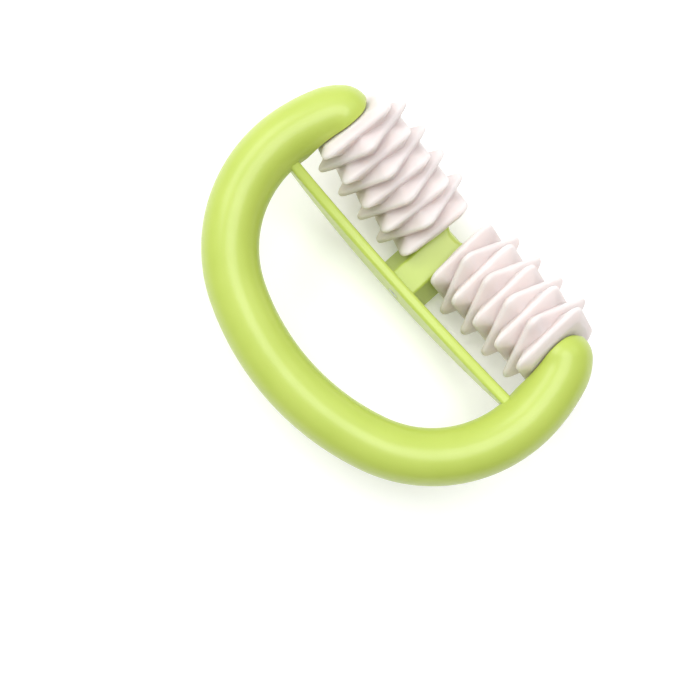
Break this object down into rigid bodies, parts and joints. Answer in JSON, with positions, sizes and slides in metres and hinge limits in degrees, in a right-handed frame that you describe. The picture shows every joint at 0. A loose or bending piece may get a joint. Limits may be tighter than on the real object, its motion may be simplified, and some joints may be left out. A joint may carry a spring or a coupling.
{
  "type": "foot massage roller",
  "caption": "Hand-held massage roller with a D-shaped tube handle, a bowed crossbar and ribbed rollers that spin freely in a shallow V.",
  "frame": {"origin": "centre of the whole part's box at rest", "axes": "+X across the width, along the handle's long side; +Y from the grip to the rollers; +Z out of the open side of the rollers' V, square to the handle's plane"},
  "size_m": [0.17, 0.1208, 0.0572],
  "materials": {
    "lime_plastic": "satin gloss moulded lime green",
    "rib_elastomer": "matt soft white",
    "core_plastic": "matt natural white",
    "acetal": "smooth white acetal",
    "steel": "bright steel"
  },
  "bodies": {
    "handle": {"handle_front_shell": "lime_plastic", "handle_rear_shell": "lime_plastic", "crossbar": "lime_plastic", "centre_post": "lime_plastic", "left_axle": "steel", "right_axle": "steel", "left_inner_washer": "acetal", "left_outer_washer": "acetal", "right_inner_washer": "acetal", "right_outer_washer": "acetal", "post_screw": "steel", "shell_screw_1": "steel", "shell_screw_2": "steel", "shell_screw_3": "steel", "shell_screw_4": "steel", "shell_screw_5": "steel"},
    "left_roller": {"left_roller_sleeve": "rib_elastomer", "left_roller_core": "core_plastic", "left_inner_bush": "acetal", "left_outer_bush": "acetal"},
    "right_roller": {"right_roller_sleeve": "rib_elastomer", "right_roller_core": "core_plastic", "right_inner_bush": "acetal", "right_outer_bush": "acetal"}
  },
  "joints": [
    {"name": "left_roller_spin", "type": "hinge", "parent": "handle", "child": "left_roller", "pos_m": [-0.0129, 0.03831, -0.01057], "axis": [-0.9135, 0, 0.4067], "continuous": true},
    {"name": "right_roller_spin", "type": "hinge", "parent": "handle", "child": "right_roller", "pos_m": [0.0129, 0.03831, -0.01057], "axis": [0.9135, 0, 0.4067], "continuous": true}
  ]
}
